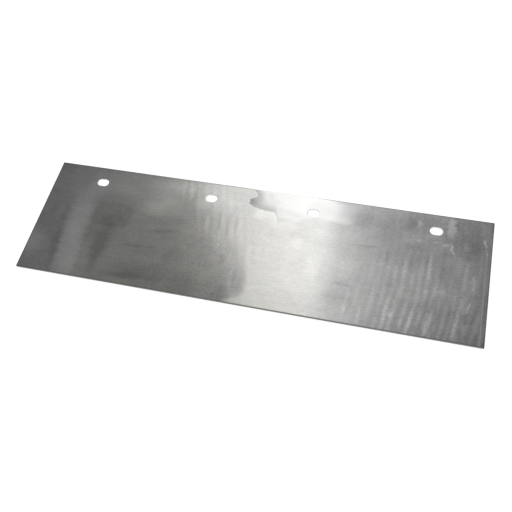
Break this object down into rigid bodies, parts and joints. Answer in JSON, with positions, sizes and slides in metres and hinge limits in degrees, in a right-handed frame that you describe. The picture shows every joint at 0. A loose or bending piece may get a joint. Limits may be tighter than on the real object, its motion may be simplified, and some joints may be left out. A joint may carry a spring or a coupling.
{
  "type": "atv plow blade",
  "caption": "Flat rectangular steel scraper blade with a row of obround bolt slots near one long edge.",
  "frame": {"origin": "centre of the back face, which is the face the blade lies on", "axes": "+X along the blade, +Y from the scraping edge to the bolting edge, +Z out of the front face"},
  "size_m": [0.6096, 0.1778, 0.0027],
  "materials": {
    "bare_steel": "bare rolled and brushed sheet, slight oil film"
  },
  "bodies": {
    "root": {"blade": "bare_steel"}
  },
  "joints": []
}
